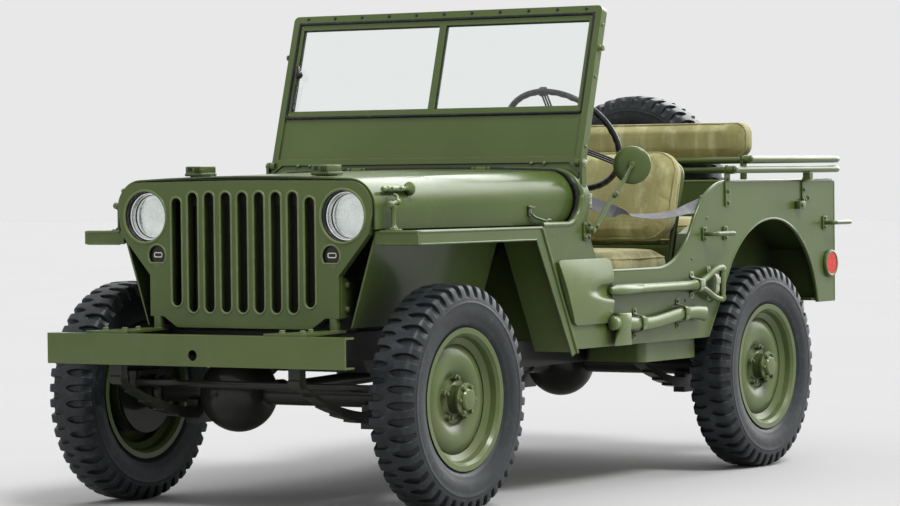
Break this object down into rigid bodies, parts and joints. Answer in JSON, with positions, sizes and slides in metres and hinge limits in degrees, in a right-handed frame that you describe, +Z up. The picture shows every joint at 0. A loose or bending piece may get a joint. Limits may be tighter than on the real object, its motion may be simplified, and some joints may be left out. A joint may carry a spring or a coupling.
{
  "type": "army 4x4 car",
  "caption": "Open-top army 4x4 car with slotted grille, folding windshield, flat fenders, pioneer tools, folded top bows and a rear spare wheel.",
  "frame": {"origin": "on the ground under the middle of the car's outline", "axes": "-Y to the front bumper, +X to the driver's side (the car's left), +Z up"},
  "size_m": [1.4191, 3.3665, 1.6086],
  "materials": {
    "body_paint": "satin olive green paint",
    "chassis_paint": "dull dark olive paint",
    "tyre_rubber": "matt grey-black rubber",
    "seat_canvas": "olive tan canvas",
    "webbing": "grey cotton webbing",
    "clear_glass": "clear flat glass",
    "lamp_black": "black enamel",
    "cast_metal": "painted castings",
    "exhaust_steel": "dull heat-marked steel",
    "wheel_black": "black moulded rim",
    "tool_paint": "olive painted tools",
    "red_lens": "red reflector lens"
  },
  "bodies": {
    "chassis": {"axe": "tool_paint", "body_sides": "body_paint", "bow_brackets": "body_paint", "cowl": "body_paint", "crossmembers": "chassis_paint", "drive_shafts": "chassis_paint", "engine": "cast_metal", "exhaust": "exhaust_steel", "frame_rails": "chassis_paint", "front_axle": "chassis_paint", "front_bumper": "body_paint", "front_fenders": "body_paint", "front_seats": "seat_canvas", "fuel_tank": "body_paint", "gearbox": "cast_metal", "grille": "body_paint", "lamp_lenses": "clear_glass", "lamps": "lamp_black", "leaf_springs": "chassis_paint", "lift_handles": "body_paint", "mirror": "body_paint", "radiator": "lamp_black", "rear_axle": "chassis_paint", "rear_bumperettes": "body_paint", "rear_panel": "body_paint", "rear_seat": "seat_canvas", "reflectors": "red_lens", "safety_straps": "webbing", "seat_frames": "body_paint", "shovel": "tool_paint", "spare_carrier": "body_paint", "spare_rim": "body_paint", "spare_tyre": "tyre_rubber", "steering_column": "chassis_paint", "tow_hook": "chassis_paint", "tub_floor": "body_paint", "wheel_wells": "body_paint"},
    "wheel_front_left": {"tyre_front_left": "tyre_rubber", "rim_front_left": "body_paint"},
    "wheel_front_right": {"tyre_front_right": "tyre_rubber", "rim_front_right": "body_paint"},
    "wheel_rear_left": {"tyre_rear_left": "tyre_rubber", "rim_rear_left": "body_paint"},
    "wheel_rear_right": {"tyre_rear_right": "tyre_rubber", "rim_rear_right": "body_paint"},
    "knuckle_left": {"knuckle_left": "chassis_paint"},
    "knuckle_right": {"knuckle_right": "chassis_paint"},
    "tie_rod": {"tie_rod": "chassis_paint"},
    "steering_wheel": {"steering_wheel": "wheel_black"},
    "hood": {"hood": "body_paint"},
    "windshield": {"windshield_frame": "body_paint", "windshield_glass": "clear_glass"},
    "main_bow": {"main_bow": "body_paint"},
    "front_bow": {"front_bow": "body_paint"}
  },
  "joints": [
    {"name": "steer_left", "type": "hinge", "parent": "chassis", "child": "knuckle_left", "pos_m": [0.503, -1.186, 0.358], "axis": [0, 0, 1], "range_deg": [-26, 26]},
    {"name": "steer_right", "type": "hinge", "parent": "chassis", "child": "knuckle_right", "pos_m": [-0.503, -1.186, 0.358], "axis": [0, 0, 1], "range_deg": [-26, 26]},
    {"name": "tie_rod_slide", "type": "slide", "parent": "chassis", "child": "tie_rod", "axis": [1, 0, 0], "range_m": [-0.075, 0.075]},
    {"name": "steering_wheel_turn", "type": "hinge", "parent": "chassis", "child": "steering_wheel", "pos_m": [0.34, -0.01, 1.165], "axis": [0, 0.788, 0.6157], "range_deg": [-338.5, 338.5]},
    {"name": "spin_front_left", "type": "hinge", "parent": "knuckle_left", "child": "wheel_front_left", "pos_m": [0.613, -1.186, 0.358], "axis": [1, 0, 0], "continuous": true},
    {"name": "spin_front_right", "type": "hinge", "parent": "knuckle_right", "child": "wheel_front_right", "pos_m": [-0.613, -1.186, 0.358], "axis": [1, 0, 0], "continuous": true},
    {"name": "spin_rear_left", "type": "hinge", "parent": "chassis", "child": "wheel_rear_left", "pos_m": [0.613, 0.846, 0.358], "axis": [1, 0, 0], "continuous": true},
    {"name": "spin_rear_right", "type": "hinge", "parent": "chassis", "child": "wheel_rear_right", "pos_m": [-0.613, 0.846, 0.358], "axis": [1, 0, 0], "continuous": true},
    {"name": "hood_open", "type": "hinge", "parent": "chassis", "child": "hood", "pos_m": [0, -0.393, 1.069], "axis": [-1, 0, 0], "range_deg": [0, 100]},
    {"name": "windshield_fold", "type": "hinge", "parent": "chassis", "child": "windshield", "pos_m": [0, -0.373, 1.087], "axis": [-1, 0, 0], "range_deg": [-104, 0]},
    {"name": "main_bow_raise", "type": "hinge", "parent": "chassis", "child": "main_bow", "pos_m": [0, 0.605, 1.06], "axis": [1, 0, 0], "range_deg": [0, 100]},
    {"name": "front_bow_raise", "type": "hinge", "parent": "main_bow", "child": "front_bow", "pos_m": [0, 0.735, 1.096], "axis": [1, 0, 0], "range_deg": [0, 50]}
  ],
  "couplings": [
    {"joint": "steer_right", "follows": "steer_left", "ratio": 1},
    {"joint": "tie_rod_slide", "follows": "steer_left", "m_per_rad": 0.165},
    {"joint": "steering_wheel_turn", "follows": "steer_left", "ratio": 13}
  ]
}
